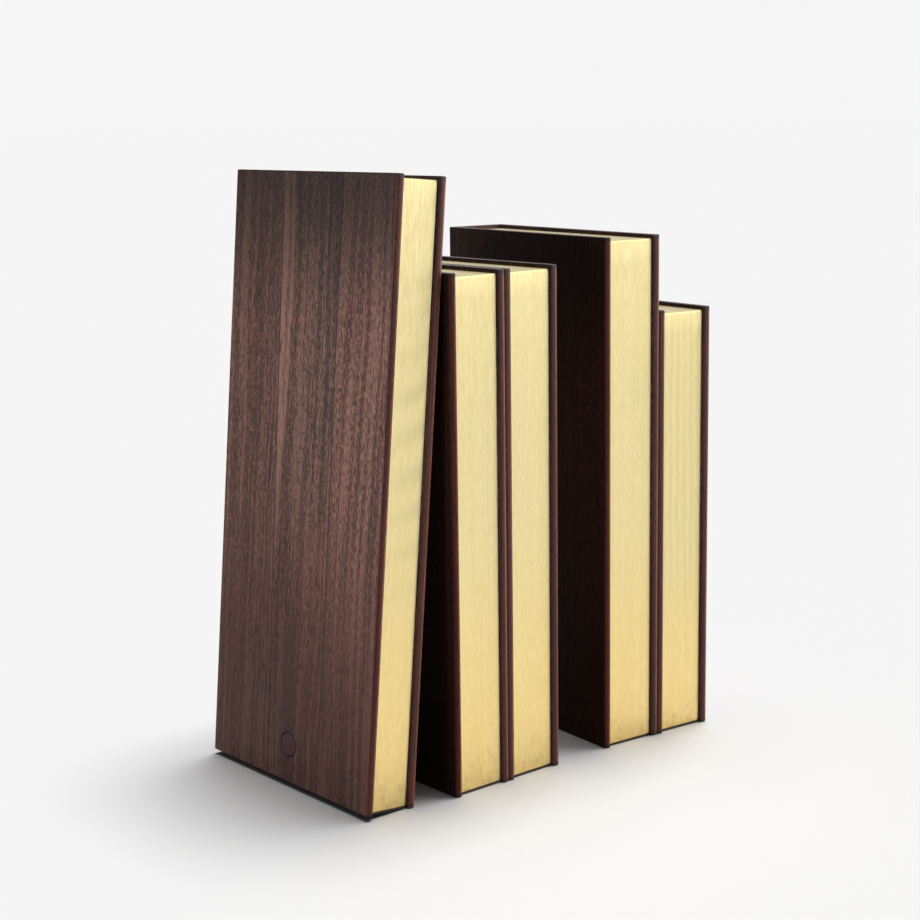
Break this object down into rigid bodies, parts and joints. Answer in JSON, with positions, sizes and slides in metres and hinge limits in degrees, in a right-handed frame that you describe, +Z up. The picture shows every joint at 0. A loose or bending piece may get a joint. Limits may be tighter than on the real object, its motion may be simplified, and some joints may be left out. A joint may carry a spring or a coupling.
{
  "type": "book ends",
  "caption": "Pair of weighted book ends shaped as upright wooden volumes with brass fore-edges; one volume leans on the left end and the right end slides to hold books.",
  "frame": {"origin": "middle of the underside of the set's box, on the shelf", "axes": "+Z up; +X from the left end to the right end across the stored books; -Y towards the brass fore-edges, +Y towards the spines"},
  "size_m": [0.2368, 0.1396, 0.3013],
  "materials": {
    "walnut_boards": "dark stained open-pore veneer, thin satin lacquer",
    "brass_sheet": "vertically brushed, lightly tarnished",
    "core_timber": "sawn, unfinished",
    "ballast_steel": "hot-rolled, oiled",
    "foot_felt": "dense wool felt",
    "dowel_beech": "plain beech",
    "screw_brass": "turned, slotted"
  },
  "bodies": {
    "left_end": {"second_ballast_plate": "ballast_steel", "second_core": "core_timber", "second_cross_dowels": "dowel_beech", "second_foot_pad": "foot_felt", "second_foot_screws": "screw_brass", "second_left_board": "walnut_boards", "second_page_wrap": "brass_sheet", "second_right_board": "walnut_boards", "second_spine_board": "walnut_boards", "third_ballast_plate": "ballast_steel", "third_core": "core_timber", "third_cross_dowels": "dowel_beech", "third_foot_pad": "foot_felt", "third_foot_screws": "screw_brass", "third_left_board": "walnut_boards", "third_page_wrap": "brass_sheet", "third_right_board": "walnut_boards", "third_spine_board": "walnut_boards", "left_pair_dowels": "dowel_beech"},
    "leaning_volume": {"first_ballast_plate": "ballast_steel", "first_core": "core_timber", "first_cross_dowels": "dowel_beech", "first_foot_pad": "foot_felt", "first_foot_screws": "screw_brass", "first_left_board": "walnut_boards", "first_page_wrap": "brass_sheet", "first_right_board": "walnut_boards", "first_spine_board": "walnut_boards"},
    "right_end": {"fifth_ballast_plate": "ballast_steel", "fifth_core": "core_timber", "fifth_cross_dowels": "dowel_beech", "fifth_foot_pad": "foot_felt", "fifth_foot_screws": "screw_brass", "fifth_left_board": "walnut_boards", "fifth_page_wrap": "brass_sheet", "fifth_right_board": "walnut_boards", "fifth_spine_board": "walnut_boards", "fourth_ballast_plate": "ballast_steel", "fourth_core": "core_timber", "fourth_cross_dowels": "dowel_beech", "fourth_foot_pad": "foot_felt", "fourth_foot_screws": "screw_brass", "fourth_left_board": "walnut_boards", "fourth_page_wrap": "brass_sheet", "fourth_right_board": "walnut_boards", "fourth_spine_board": "walnut_boards", "right_pair_dowels": "dowel_beech"}
  },
  "joints": [
    {"name": "lean_tip", "type": "hinge", "parent": "left_end", "child": "leaning_volume", "pos_m": [-0.09027, 0.0053, 0.0008], "axis": [0, 1, 0], "range_deg": [-4.95, 0]},
    {"name": "span_slide", "type": "slide", "parent": "left_end", "child": "right_end", "axis": [1, 0, 0], "range_m": [-0.033, 0.3]}
  ]
}
